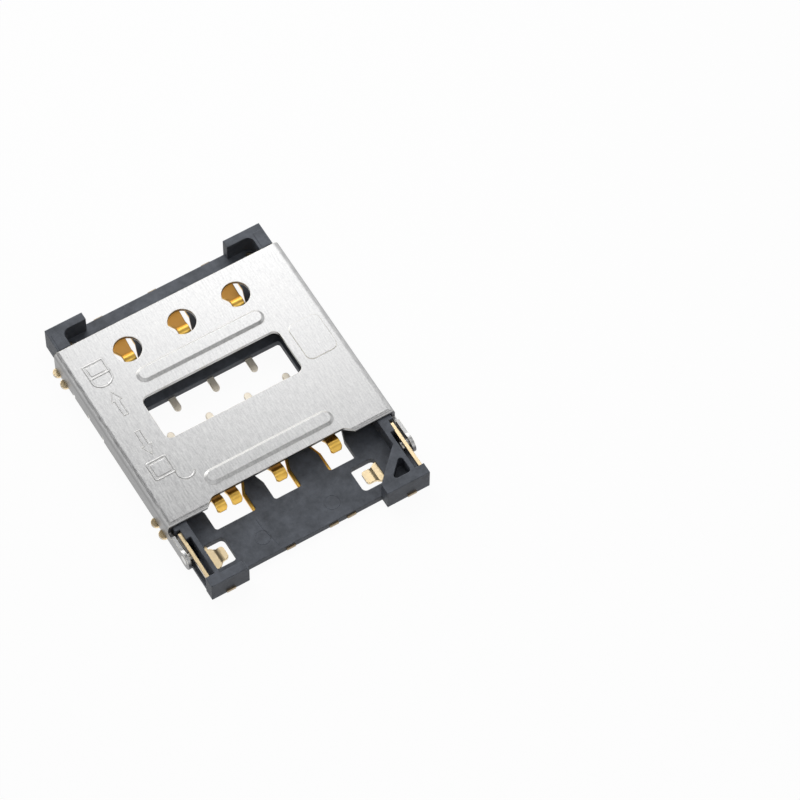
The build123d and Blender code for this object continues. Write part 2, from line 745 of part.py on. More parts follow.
# Lid: one sheet bent down at both sides, with arms that reach back to the hinge pins
with BuildPart() as lid:
    with BuildSketch(Plane.XY.offset(arm_bottom)):
        box_face(-lid_outer_x, lid_outer_x, pin_y - arm_end_radius, lid_far_y)
    extrude(amount=lid_top - arm_bottom)
    long_edges = lid.edges().filter_by(Axis.Y).group_by(Axis.Z)[-1]
    fillet(long_edges, lid_bend_radius + lid_sheet)
    open_faces = lid.faces().filter_by(Axis.Y) + lid.faces().filter_by(Axis.Z).sort_by(Axis.Z)[:1]
    offset(amount=-lid_sheet, openings=open_faces)

    # Side outline, with the arms, the rounded far corners and a small notch in the skirts
    with BuildSketch(Plane.YZ) as side_outline:
        box_face(lid_corner_y, lid_far_y, skirt_bottom, lid_top)
        box_face(pin_y, lid_corner_y - arm_neck_length, skirt_bottom, arm_top)
        box_face(lid_corner_y - arm_neck_length, lid_corner_y, skirt_bottom, arm_top - arm_neck_drop)
        disc(pin_y, pin_z, 2 * arm_end_radius)
        with Locations((pin_y, pin_z)):
            Circle(pin_diameter / 2 + pin_fit, mode=Mode.SUBTRACT)
        far_lower_corner = side_outline.vertices().group_by(Axis.Y)[-1].sort_by(Axis.Z)[0]
        fillet(far_lower_corner, lid_corner_round)
        with Locations((skirt_notch_y, skirt_bottom)):
            Rectangle(skirt_notch_width, 2 * skirt_notch_height, mode=Mode.SUBTRACT)
        for relief_y in (tab_near_y - tab_relief, tab_far_y):
            with Locations((relief_y + tab_relief / 2, skirt_bottom)):
                Rectangle(tab_relief, 2 * tab_relief_height, mode=Mode.SUBTRACT)
    extrude(amount=lid_outer_x, both=True, mode=Mode.INTERSECT)

    # Set-back middle of the near edge
    with BuildSketch(Plane.XY.offset(lid_under - lid_sheet)) as setback:
        inner_half = lid_setback_width / 2
        outer_half = inner_half + lid_setback_ramp
        setback_y = lid_corner_y + lid_setback
        polygon([
            (-outer_half, lid_corner_y - lid_setback),
            (outer_half, lid_corner_y - lid_setback),
            (outer_half, lid_corner_y),
            (inner_half, setback_y),
            (-inner_half, setback_y),
            (-outer_half, lid_corner_y),
        ])
        inner_vertices = setback.vertices().group_by(Axis.Y)[-1]
        fillet(inner_vertices, lid_setback_round)
    extrude(amount=2 * lid_sheet, mode=Mode.SUBTRACT)

    # Raised ribs, hollow underneath, and the pad beside the window
    for rib_y in (far_rib_y, near_rib_y):
        with BuildSketch(Plane.XY.offset(lid_top)):
            with Locations((contact_shift + rib_shift, rib_y)):
                SlotOverall(rib_length, rib_width)
        extrude(amount=rib_height, taper=rib_taper)
        with BuildSketch(Plane.XY.offset(lid_under)):
            with Locations((contact_shift + rib_shift, rib_y)):
                SlotOverall(rib_length - 2 * rib_wall_step, rib_width - 2 * rib_wall_step)
        extrude(amount=rib_height, taper=rib_taper, mode=Mode.SUBTRACT)
    with BuildSketch(Plane.XY.offset(lid_top)):
        with Locations((pad_x, pad_y)):
            RectangleRounded(pad_width, pad_length, pad_round)
    extrude(amount=pad_step)

    # Window and the three round holes
    with BuildSketch(Plane.XY.offset(lid_under)) as cutouts:
        window_left_x = lid_window_shift - lid_window_width / 2
        box_face(window_left_x, window_left_x + lid_window_width, lid_window_near_y, lid_window_far_y)
        fillet(cutouts.vertices(), lid_window_round)
        for centre in column_x:
            disc(centre + lid_hole_shift, lid_hole_y, lid_hole_diameter)
    extrude(amount=lid_sheet, mode=Mode.SUBTRACT)

    # Lock tabs bent inward from the skirts
    for side in (LEFT, RIGHT):
        with BuildSketch(Plane.XY.offset(skirt_bottom)):
            box_face(side * (lid_inner_x - tab_reach), side * lid_outer_x, tab_near_y, tab_far_y)
        extrude(amount=lid_sheet)
    tab_bends = (
        lid.edges().filter_by(Axis.Y)
        .filter_by(lambda edge: abs(edge.center().Y - tab_y) < tab_relief)
        .filter_by(lambda edge: abs(edge.center().Z - skirt_bottom) < strip_level / 10)
        .filter_by(lambda edge: abs(abs(edge.center().X) - lid_outer_x) < strip_level / 10)
    )
    fillet(tab_bends, lid_bend_radius)

# Names and files
side_names = {LEFT: "left", RIGHT: "right"}
pieces = {"housing": housing.part, "lid": lid.part, "card_switch_contact": switch_contact}
for name, far_part, near_part in zip(("left", "middle", "right"), far_contacts, near_contacts):
    pieces[f"contact_far_{name}"] = far_part
    pieces[f"contact_near_{name}"] = near_part
for side, name in side_names.items():
    pieces[f"side_frame_{name}"] = side_frames[side]
    pieces[f"hinge_bridge_{name}"] = hinge_bridges[side]
    pieces[f"hinge_pin_{name}"] = hinge_pins[side]
for name, piece in pieces.items():
    piece.label = name
    export_step(piece, f"parts/{name}.step")
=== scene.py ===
"""Looks of the SIM card socket: a finish for every piece, signs, mould marks, light and camera."""

import logging
import math
from dataclasses import dataclass, field
from enum import Enum
from typing import Any, Iterable, Sequence

import bpy
import numpy as np
from mathutils import Matrix, Vector


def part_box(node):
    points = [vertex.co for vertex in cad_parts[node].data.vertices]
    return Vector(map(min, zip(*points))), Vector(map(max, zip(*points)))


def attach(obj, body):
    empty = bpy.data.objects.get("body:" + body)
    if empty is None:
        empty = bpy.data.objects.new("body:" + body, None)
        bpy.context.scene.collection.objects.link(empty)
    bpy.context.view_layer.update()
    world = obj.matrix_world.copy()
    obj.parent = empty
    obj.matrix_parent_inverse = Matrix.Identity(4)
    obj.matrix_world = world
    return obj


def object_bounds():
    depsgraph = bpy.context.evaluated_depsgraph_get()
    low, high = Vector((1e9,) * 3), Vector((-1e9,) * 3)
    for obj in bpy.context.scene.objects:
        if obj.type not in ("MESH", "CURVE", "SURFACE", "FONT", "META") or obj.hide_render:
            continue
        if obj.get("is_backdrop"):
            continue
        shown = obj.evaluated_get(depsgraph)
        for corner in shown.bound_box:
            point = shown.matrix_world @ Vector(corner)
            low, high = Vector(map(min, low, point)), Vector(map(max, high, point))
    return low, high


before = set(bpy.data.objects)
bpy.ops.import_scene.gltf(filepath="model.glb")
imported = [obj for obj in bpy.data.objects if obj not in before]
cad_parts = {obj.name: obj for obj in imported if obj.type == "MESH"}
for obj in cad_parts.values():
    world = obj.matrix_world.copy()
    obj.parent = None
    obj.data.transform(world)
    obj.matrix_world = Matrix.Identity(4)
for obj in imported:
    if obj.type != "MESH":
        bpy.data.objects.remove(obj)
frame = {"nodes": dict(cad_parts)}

log = logging.getLogger("sim_card_socket")

Colour = tuple[float, float, float]
Place = tuple[float, float, float]
Pair = tuple[float, float]
Span = tuple[float, float]
Flat = np.ndarray
Mesh = tuple[np.ndarray, list[tuple[int, ...]]]

MM = 0.001
PER_METRE_TO_PER_MM = 1000.0
PICTURE_SIDE_PX = 800
BEVEL_SAMPLES = 12
SHARP_ANGLE_DEG = 10.0

# Places of the sockets on a Mix node that mixes colours
MIX_SHARE, MIX_FIRST, MIX_SECOND, MIX_RESULT = 0, 6, 7, 2

WHITE: Colour = (1.0, 1.0, 1.0)
WHOLE: Span = (0.0, 1.0)
# Most values of a cloudy pattern lie in here
CLOUD_BODY: Span = (0.3, 0.7)


class Slot(Enum):
    """Material slots of the record that the added pieces use."""

    HOUSING = "housing_plastic"
    LID = "lid_steel"


class Body(Enum):
    """Bodies that the added pieces ride on."""

    HOUSING = "housing"
    LID = "lid"


class Side(Enum):
    """The two long sides, as the sign of X."""

    LEFT = -1
    RIGHT = 1


class Way(Enum):
    """The two ways along Y that the lid's arrows point."""

    TO_LOCK = 1
    TO_OPEN = -1


@dataclass(frozen=True)
class Pattern:
    """Cloudy pattern that lies fixed on an object.

    Scale times the stretch of an axis is the number of grains in a millimetre along it, so a low stretch
    draws the grains out. Detail counts the finer layers, and rough says how strong they are.
    """

    scale: float = 1.0
    detail: float = 3.0
    rough: float = 0.6
    stretch: tuple[float, float, float] = (1.0, 1.0, 1.0)


def rgba(colour: Colour) -> tuple[float, float, float, float]:
    """The colour with full cover."""
    return (*colour, 1.0)


class NodeSheet:
    """Node tree of one finish, with short ways to add its nodes and to join them."""

    def __init__(self, tree: bpy.types.NodeTree) -> None:
        """Empties the tree and keeps it."""
        self.tree = tree
        tree.nodes.clear()

    def add(self, kind: str, **settings: Any) -> bpy.types.Node:
        """Adds a node.

        Args:
            kind: the node's type name.
            settings: the node's own settings by name.

        Returns:
            The new node.
        """
        node = self.tree.nodes.new(kind)
        for name, value in settings.items():
            setattr(node, name, value)
        return node

    def feed(self, socket: bpy.types.NodeSocket, value: Any) -> None:
        """Joins a socket to another one, or sets it.

        Args:
            socket: the input to feed.
            value: an output socket, or a plain number, colour or vector.
        """
        if isinstance(value, bpy.types.NodeSocket):
            self.tree.links.new(value, socket)
        else:
            socket.default_value = value

    def fill(self, node: bpy.types.Node, **inputs: Any) -> None:
        """Feeds several inputs of a node, with spaces in their names written as underscores."""
        for name, value in inputs.items():
            self.feed(node.inputs[name.replace("_", " ")], value)

    def filled(self, kind: str, **inputs: Any) -> bpy.types.Node:
        """Adds a node and feeds its inputs.

        Args:
            kind: the node's type name.
            inputs: what each input gets, with spaces in their names written as underscores.

        Returns:
            The new node.
        """
        node = self.add(kind)
        self.fill(node, **inputs)
        return node

    def calc(self, operation: str, first: Any, second: Any = 0.0) -> bpy.types.NodeSocket:
        """Result of one operation on one or two numbers.

        Args:
            operation: the Math node's operation.
            first: first number or socket.
            second: second number or socket.

        Returns:
            The result's socket.
        """
        node = self.add("ShaderNodeMath", operation=operation)
        for socket, value in zip(node.inputs, (first, second)):
            self.feed(socket, value)
        return node.outputs[0]

    def spread(
        self, value: Any, source: Span, target: Span = WHOLE, smooth: bool = False
    ) -> bpy.types.NodeSocket:
        """Maps a number from one range to another, held at the ends.

        Args:
            value: the number's socket.
            source: range that it comes from.
            target: range that it goes to.
            smooth: whether the change eases in and out.

        Returns:
            The mapped number's socket.
        """
        node = self.add("ShaderNodeMapRange", interpolation_type="SMOOTHSTEP" if smooth else "LINEAR")
        self.fill(node, Value=value, From_Min=source[0], From_Max=source[1])
        self.fill(node, To_Min=target[0], To_Max=target[1])
        return node.outputs["Result"]

    def blend(self, share: Any, first: Any, second: Any) -> bpy.types.NodeSocket:
        """Mixes two colours.

        Args:
            share: how much of the second one is taken.
            first: colour or socket at 0.
            second: colour or socket at 1.

        Returns:
            The mixed colour's socket.
        """
        node = self.add("ShaderNodeMix", data_type="RGBA")
        for place, value in ((MIX_SHARE, share), (MIX_FIRST, first), (MIX_SECOND, second)):
            self.feed(node.inputs[place], value)
        return node.outputs[MIX_RESULT]

    def millimetres(self, stretch: Sequence[float] = (1.0, 1.0, 1.0)) -> bpy.types.NodeSocket:
        """Place on the object in millimetres.

        Args:
            stretch: factor for each axis; a low one draws a pattern out along it.

        Returns:
            The vector's socket.
        """
        place = self.add("ShaderNodeTexCoord")
        mapping = self.filled("ShaderNodeMapping", Vector=place.outputs["Object"])
        mapping.inputs["Scale"].default_value = [PER_METRE_TO_PER_MM * factor for factor in stretch]
        return mapping.outputs["Vector"]

    def axis(self, vector: bpy.types.NodeSocket, name: str) -> bpy.types.NodeSocket:
        """One axis, X, Y or Z, of a vector."""
        return self.filled("ShaderNodeSeparateXYZ", Vector=vector).outputs[name]

    def facing(self, name: str) -> bpy.types.NodeSocket:
        """How far the surface faces along X, Y or Z of the object, from -1 to 1."""
        return self.axis(self.add("ShaderNodeTexCoord").outputs["Normal"], name)

    def cloud(self, pattern: Pattern) -> bpy.types.NodeSocket:
        """Values of a cloudy pattern, from 0 to 1.

        Args:
            pattern: its grain.

        Returns:
            The values' socket.
        """
        place = self.millimetres(pattern.stretch)
        node = self.filled("ShaderNodeTexNoise", Vector=place, Scale=pattern.scale)
        self.fill(node, Detail=pattern.detail, Roughness=pattern.rough)
        return node.outputs["Fac"]

    def soft_edge(self, radius_mm: float) -> bpy.types.NodeSocket:
        """Normal that rounds every edge by a small radius.

        Args:
            radius_mm: the radius in millimetres.

        Returns:
            The normal's socket.
        """
        node = self.add("ShaderNodeBevel", samples=BEVEL_SAMPLES)
        node.inputs["Radius"].default_value = radius_mm * MM
        return node.outputs["Normal"]

    def edge_share(self, rounded: bpy.types.NodeSocket, turn: Span, most: float) -> bpy.types.NodeSocket:
        """How near an edge a point is, from how far the rounded normal leans from the true one.

        Args:
            rounded: the rounded normal.
            turn: lean at which the share starts and is full.
            most: the full share.

        Returns:
            The share's socket.
        """
        true_normal = self.add("ShaderNodeNewGeometry").outputs["True Normal"]
        dot = self.add("ShaderNodeVectorMath", operation="DOT_PRODUCT")
        self.feed(dot.inputs[0], rounded)
        self.feed(dot.inputs[1], true_normal)
        lean = self.calc("SUBTRACT", 1.0, dot.outputs["Value"])
        return self.spread(lean, turn, (0.0, most), smooth=True)

    def bump(self, height: Any, depth_mm: float, strength: float, normal: Any) -> bpy.types.NodeSocket:
        """Small relief on top of a normal.

        Args:
            height: the relief's pattern, 0 to 1.
            depth_mm: its depth.
            strength: share of it that is used.
            normal: the normal under it.

        Returns:
            The new normal's socket.
        """
        node = self.filled("ShaderNodeBump", Strength=strength, Distance=depth_mm * MM)
        self.fill(node, Height=height, Normal=normal)
        return node.outputs["Normal"]

    def seen_share(self) -> bpy.types.NodeSocket:
        """1 for rays of the camera and of mirror-like and clear surfaces, otherwise 0.

        Returns:
            The share's socket.
        """
        path = self.add("ShaderNodeLightPath").outputs
        seen = self.calc("MAXIMUM", path["Is Camera Ray"], path["Is Glossy Ray"])
        return self.calc("MAXIMUM", seen, path["Is Transmission Ray"])

    def surface(self, shader: bpy.types.Node, output: str = "ShaderNodeOutputMaterial") -> None:
        """Makes the shader what the tree's output node shows."""
        self.tree.links.new(shader.outputs[0], self.add(output).inputs["Surface"])


def new_sheet(name: str) -> tuple[bpy.types.Material, NodeSheet]:
    """Starts a material.

    Args:
        name: the material's name.

    Returns:
        The empty material and its node sheet.
    """
    material = bpy.data.materials.new(name)
    material.use_nodes = True
    return material, NodeSheet(material.node_tree)


@dataclass(frozen=True)
class MouldedPlastic:
    """Dark slate moulding: cloudy flow marks, fine grain, and paler edges that are partly wear and partly
    painted highlight.

    The edge radius and the depth of the grain are in millimetres.
    """

    name: str = "slate_moulding"
    dark: Colour = (0.041, 0.047, 0.058)
    pale: Colour = (0.123, 0.137, 0.164)
    # Paler edge colour: partly wear, partly painted highlight.
    edge: Colour = (0.150, 0.164, 0.188)
    flow: Pattern = Pattern(scale=1.6, detail=6.0, rough=0.68)
    flow_range: Span = (0.32, 0.68)
    flow_share: float = 0.8
    speckle: Pattern = Pattern(scale=26.0)
    speckle_share: float = 0.2
    roughness: Span = (0.46, 0.62)
    shine: float = 0.42
    edge_radius: float = 0.045
    wear_and_highlight_turn: Span = (0.02, 0.30)
    wear_and_highlight_share: float = 0.65
    grain_depth: float = 0.004
    grain_strength: float = 0.5

    def make(self) -> bpy.types.Material:
        """Builds the material.

        Returns:
            The new material.
        """
        material, sheet = new_sheet(self.name)
        speckle = sheet.cloud(self.speckle)
        flow = sheet.spread(sheet.cloud(self.flow), self.flow_range, (0.0, self.flow_share))
        tone = sheet.calc("ADD", flow, sheet.calc("MULTIPLY", speckle, self.speckle_share))
        body = sheet.blend(tone, rgba(self.dark), rgba(self.pale))
        rounded = sheet.soft_edge(self.edge_radius)
        # Paler edges where the rounded normal leans: partly wear, partly painted highlight.
        worn_and_highlit = sheet.edge_share(rounded, self.wear_and_highlight_turn, self.wear_and_highlight_share)
        shader = sheet.filled(
            "ShaderNodeBsdfPrincipled",
            Base_Color=sheet.blend(worn_and_highlit, body, rgba(self.edge)),
            Roughness=sheet.spread(speckle, CLOUD_BODY, self.roughness),
            Normal=sheet.bump(speckle, self.grain_depth, self.grain_strength, rounded),
            Specular_IOR_Level=self.shine,
        )
        sheet.surface(shader)
        return material


@dataclass(frozen=True)
class SatinSteel:
    """Rolled sheet steel with fine streaks along Y.

    Painted shade makes the sides that face along X duller, painted highlight makes the far slopes of the ribs
    bright, the edges get a pale cream that is partly their own tone and partly painted highlight, and painted
    shade darkens the near end face. The edge radius, the depth of the streaks and the near end's Y are in
    millimetres, and a lean or rise is how far the surface faces along an axis.
    """

    name: str = "satin_sheet_steel"
    dark: Colour = (0.37, 0.37, 0.375)
    pale: Colour = (0.65, 0.65, 0.645)
    streaks: Pattern = Pattern(stretch=(16.0, 2.6, 16.0))
    streak_share: float = 0.6
    mottle: Pattern = Pattern(scale=13.0, rough=0.7)
    mottle_share: float = 0.4
    # Painted shade: the dull grey for the sides that face along X.
    side: Colour = (0.25, 0.25, 0.25)
    side_shade_lean: Span = (0.6, 0.95)
    side_shade_share: float = 0.85
    # Painted highlight: the near-white for the far slopes of the ribs.
    slope: Colour = (0.98, 0.97, 0.94)
    slope_highlight_lean: Span = (0.2, 0.5)
    slope_highlight_rise: Span = (0.2, 0.4)
    slope_share: float = 0.85
    # Pale cream edge colour: partly the edges' own tone, partly painted highlight.
    edge: Colour = (0.97, 0.91, 0.76)
    edge_radius: float = 0.028
    edge_turn: Span = (0.01, 0.15)
    burnish_and_highlight_share: float = 0.85
    # Painted shade: the dark colour of the near end face that looks towards -Y.
    near_end_shade: Colour = (0.10, 0.10, 0.11)
    near_end_shade_lean: Span = (-0.95, -0.80)
    near_end_shade_share: float = 0.9
    near_end_y: Span = (-2.6, -2.4)
    roughness: Span = (0.30, 0.44)
    streak_depth: float = 0.0016
    streak_strength: float = 0.35

    def make(self) -> bpy.types.Material:
        """Builds the material.

        Returns:
            The new material.
        """
        material, sheet = new_sheet(self.name)
        streaks = sheet.cloud(self.streaks)
        tone = sheet.calc(
            "ADD",
            sheet.spread(streaks, CLOUD_BODY, (0.0, self.streak_share)),
            sheet.spread(sheet.cloud(self.mottle), CLOUD_BODY, (0.0, self.mottle_share)),
        )
        rolled = sheet.blend(tone, rgba(self.dark), rgba(self.pale))
        # Painted highlight on the slopes that face +Y and upwards.
        far_slope_highlight = sheet.calc(
            "MULTIPLY",
            sheet.spread(sheet.facing("Y"), self.slope_highlight_lean, (0.0, self.slope_share)),
            sheet.spread(sheet.facing("Z"), self.slope_highlight_rise),
        )
        slope_highlit = sheet.blend(far_slope_highlight, rolled, rgba(self.slope))
        # Painted shade on the faces that look along X.
        sideways = sheet.calc("ABSOLUTE", sheet.facing("X"))
        side_shade_mask = sheet.spread(sideways, self.side_shade_lean, (0.0, self.side_shade_share))
        side_shaded = sheet.blend(side_shade_mask, slope_highlit, rgba(self.side))
        rounded = sheet.soft_edge(self.edge_radius)
        # Pale cream edges: partly their own tone, partly painted highlight.
        worn_and_highlit = sheet.edge_share(rounded, self.edge_turn, self.burnish_and_highlight_share)
        burnished_and_highlit = sheet.blend(worn_and_highlit, side_shaded, rgba(self.edge))
        # Painted shade on the near end face, where it looks towards -Y.
        near_end_shaded = sheet.calc(
            "MULTIPLY",
            sheet.spread(sheet.facing("Y"), self.near_end_shade_lean, (self.near_end_shade_share, 0.0)),
            sheet.spread(sheet.axis(sheet.millimetres(), "Y"), self.near_end_y, (1.0, 0.0)),
        )
        shader = sheet.filled(
            "ShaderNodeBsdfPrincipled",
            Base_Color=sheet.blend(near_end_shaded, burnished_and_highlit, rgba(self.near_end_shade)),
            Metallic=1.0,
            Roughness=sheet.spread(streaks, CLOUD_BODY, self.roughness),
            Normal=sheet.bump(tone, self.streak_depth, self.streak_strength, rounded),
        )
        sheet.surface(shader)
        return material


@dataclass(frozen=True)
class PalePinSteel(SatinSteel):
    """The same steel on the pins: paler, without the painted shade on the sides, and with a finer edge."""

    name: str = "pale_pin_steel"
    dark: Colour = (0.62, 0.62, 0.61)
    pale: Colour = (0.82, 0.82, 0.80)
    side_shade_share: float = 0.0
    edge_radius: float = 0.015


@dataclass(frozen=True)
class GoldPlate:
    """Gold on spring metal: deep gold, brown painted shade on beam faces that lean towards +Y, random brown
    stains, pale solder tails.

    The contacts' ends at the housing's walls are sheared and show the metal under the gold. Radius, depth
    and places along Y are in millimetres.
    """

    name: str = "gold_plate"
    deep: Colour = (0.95, 0.60, 0.13)
    # Brown for random stains and for painted shade on the beams that lean towards +Y.
    brown_stain_and_shade: Colour = (0.50, 0.23, 0.035)
    rising_beam_shade_lean: Span = (-0.06, 0.14)
    rising_beam_shade_share: float = 0.9
    stain: Pattern = Pattern(scale=2.4, rough=0.55)
    stain_range: Span = (0.5, 0.8)
    stain_share: float = 0.5
    pale: Colour = (0.97, 0.89, 0.75)
    tail_middle_y: float = 1.0
    tail_reach: Span = (1.5, 1.9)
    tail_roughness: float = 0.5
    tail_metal: float = 0.55
    sheared: Colour = (0.36, 0.28, 0.18)
    sheared_y: Span = (6.37, 6.40)
    drawn: Pattern = Pattern(rough=0.55, stretch=(30.0, 2.0, 2.0))
    drawn_depth: float = 0.001
    drawn_strength: float = 0.3
    roughness: Span = (0.28, 0.42)
    edge_radius: float = 0.05

    def make(self) -> bpy.types.Material:
        """Builds the material.

        Returns:
            The new material.
        """
        material, sheet = new_sheet(self.name)
        # Painted shade: faces that lean towards +Y turn brown, standing in for the lid's dark underside seen
        # in them.
        rising_beam_shade = sheet.spread(sheet.facing("Y"), self.rising_beam_shade_lean, (0.0, self.rising_beam_shade_share), smooth=True)
        stained = sheet.spread(sheet.cloud(self.stain), self.stain_range, (0.0, self.stain_share))
        beams = sheet.blend(sheet.calc("MAXIMUM", rising_beam_shade, stained), rgba(self.deep), rgba(self.brown_stain_and_shade))
        along = sheet.axis(sheet.millimetres(), "Y")
        from_tails = sheet.calc("ABSOLUTE", sheet.calc("SUBTRACT", along, self.tail_middle_y))
        tails = sheet.spread(from_tails, self.tail_reach, (1.0, 0.0), smooth=True)
        plated = sheet.blend(tails, beams, rgba(self.pale))
        sheared = sheet.spread(sheet.calc("ABSOLUTE", along), self.sheared_y)
        drawn = sheet.cloud(self.drawn)
        rounded = sheet.soft_edge(self.edge_radius)
        shader = sheet.filled(
            "ShaderNodeBsdfPrincipled",
            Base_Color=sheet.blend(sheared, plated, rgba(self.sheared)),
            Metallic=sheet.spread(tails, WHOLE, (1.0, self.tail_metal)),
            Roughness=sheet.calc(
                "MAXIMUM",
                sheet.spread(drawn, CLOUD_BODY, self.roughness),
                sheet.calc("MULTIPLY", tails, self.tail_roughness),
            ),
            Normal=sheet.bump(drawn, self.drawn_depth, self.drawn_strength, rounded),
        )
        sheet.surface(shader)
        return material


@dataclass(frozen=True)
class PlatedStrip:
    """Pale gold strip with random grey stains; painted shade turns its rounded edges orange and the faces
    that look sideways grey.

    Its sheared ends show the metal under the gold. Radius, depth and places along Y are in millimetres.
    """

    name: str = "plated_strip"
    gold: Colour = (0.92, 0.74, 0.46)
    # Grey for random stains and for painted shade on the faces that look sideways.
    grey_stain_and_shade: Colour = (0.46, 0.45, 0.43)
    side_shade_lean: Span = (0.6, 0.9)
    side_shade_share: float = 0.85
    stain: Pattern = Pattern(scale=3.0, detail=4.0)
    stain_range: Span = (0.45, 0.75)
    stain_share: float = 0.3
    stain_depth: float = 0.001
    stain_strength: float = 0.25
    # Painted shade: the orange of the rounded edges.
    edge: Colour = (0.80, 0.46, 0.15)
    edge_radius: float = 0.025
    edge_turn: Span = (0.02, 0.2)
    edge_shade_share: float = 0.7
    sheared: Colour = (0.42, 0.33, 0.22)
    sheared_y: Span = (6.79, 6.81)
    roughness: Span = (0.30, 0.42)

    def make(self) -> bpy.types.Material:
        """Builds the material.

        Returns:
            The new material.
        """
        material, sheet = new_sheet(self.name)
        stain = sheet.cloud(self.stain)
        sideways = sheet.calc("ABSOLUTE", sheet.facing("X"))
        # Painted shade on the faces that look along X, plus random grey stains.
        stain_and_side_shade = sheet.calc(
            "ADD",
            sheet.spread(sideways, self.side_shade_lean, (0.0, self.side_shade_share)),
            sheet.spread(stain, self.stain_range, (0.0, self.stain_share)),
        )
        plated = sheet.blend(stain_and_side_shade, rgba(self.gold), rgba(self.grey_stain_and_shade))
        rounded = sheet.soft_edge(self.edge_radius)
        # Painted shade: rounded edges turn orange.
        edge_shade_mask = sheet.edge_share(rounded, self.edge_turn, self.edge_shade_share)
        edge_shaded = sheet.blend(edge_shade_mask, plated, rgba(self.edge))
        from_middle = sheet.calc("ABSOLUTE", sheet.axis(sheet.millimetres(), "Y"))
        sheared = sheet.spread(from_middle, self.sheared_y)
        shader = sheet.filled(
            "ShaderNodeBsdfPrincipled",
            Base_Color=sheet.blend(sheared, edge_shaded, rgba(self.sheared)),
            Metallic=1.0,
            Roughness=sheet.spread(stain, CLOUD_BODY, self.roughness),
            Normal=sheet.bump(stain, self.stain_depth, self.stain_strength, rounded),
        )
        sheet.surface(shader)
        return material


def rectangle(x: Span, y: Span) -> Flat:
    """Corners of a rectangle, counter-clockwise from the near left one."""
    return np.array([(x[0], y[0]), (x[1], y[0]), (x[1], y[1]), (x[0], y[1])])


def rounded_path(corners: Flat, radius: float, steps: int = 6) -> Flat:
    """Closed path with round corners.

    A corner P between its neighbours becomes the curve (1-t)(1-t)A + 2t(1-t)P + ttB, where A and B lie
    the radius away from P towards the two neighbours.

    Args:
        corners: corner points, one row each.
        radius: distance from the corner at which the curve starts.
        steps: points on each curve.

    Returns:
        The path's points, one row each.
    """
    before = np.roll(corners, 1, axis=0) - corners
    after = np.roll(corners, -1, axis=0) - corners
    start = corners + before / np.linalg.norm(before, axis=1, keepdims=True) * radius
    end = corners + after / np.linalg.norm(after, axis=1, keepdims=True) * radius
    t = np.linspace(0.0, 1.0, steps)[None, :, None]
    curve = (1 - t) ** 2 * start[:, None] + 2 * t * (1 - t) * corners[:, None] + t**2 * end[:, None]
    return curve.reshape(-1, 2)


def arc_path(centre: Sequence[float], radii: Sequence[float], turn: Span, steps: int = 24) -> Flat:
    """Part of an ellipse: centre plus (rx cos a, ry sin a) for the angle a over the turn.

    Args:
        centre: middle of the ellipse.
        radii: half widths along X and Y.
        turn: first and last angle in degrees.
        steps: number of points.

    Returns:
        The path's points, one row each.
    """
    angle = np.radians(np.linspace(*turn, steps))
    return np.column_stack((centre[0] + radii[0] * np.cos(angle), centre[1] + radii[1] * np.sin(angle)))


def mitres(path: Flat, closed: bool) -> Flat:
    """Sideways direction at each point, long enough that a band keeps its width round a corner.

    The direction is the sum of the left normals of the two runs that meet, divided by its share along one
    of them. The ends of an open path have only one run.

    Args:
        path: the path's points.
        closed: whether the last point joins the first.

    Returns:
        One direction for each point.
    """
    ahead = np.roll(path, -1, axis=0) - path
    if not closed:
        ahead[-1] = ahead[-2]
    ahead /= np.linalg.norm(ahead, axis=1, keepdims=True)
    behind = np.roll(ahead, 1, axis=0)
    if not closed:
        behind[0] = ahead[0]
    left_ahead = np.column_stack((-ahead[:, 1], ahead[:, 0]))
    left_behind = np.column_stack((-behind[:, 1], behind[:, 0]))
    both = left_ahead + left_behind
    return both / np.sum(both * left_ahead, axis=1, keepdims=True)


def carried(path: Flat, profile: Flat, base_z: float, closed: bool) -> Mesh:
    """A profile carried along a flat path.

    Point (i, j) is path point i, plus profile offset j times the sideways direction there, at the base
    height plus profile height j.

    Args:
        path: the path's points.
        profile: closed outline of the section, offset and height in each row.
        base_z: height of the surface that the ridge stands on.
        closed: whether the path is a ring.

    Returns:
        Points and faces.
    """
    count, ring = len(path), len(profile)
    flat = path[:, None, :] + mitres(path, closed)[:, None, :] * profile[None, :, :1]
    height = np.broadcast_to(base_z + profile[None, :, 1:], (count, ring, 1))
    points = np.concatenate((flat, height), axis=2).reshape(-1, 3)
    runs = count if closed else count - 1
    i, j = np.meshgrid(np.arange(runs), np.arange(ring), indexing="ij")
    i_next, j_next = (i + 1) % count, (j + 1) % ring
    quads = np.stack((i * ring + j, i_next * ring + j, i_next * ring + j_next, i * ring + j_next), axis=-1)
    faces = [tuple(quad) for quad in quads.reshape(-1, 4).tolist()]
    if not closed:
        faces.append(tuple(range(ring - 1, -1, -1)))
        faces.append(tuple((count - 1) * ring + k for k in range(ring)))
    return points, faces


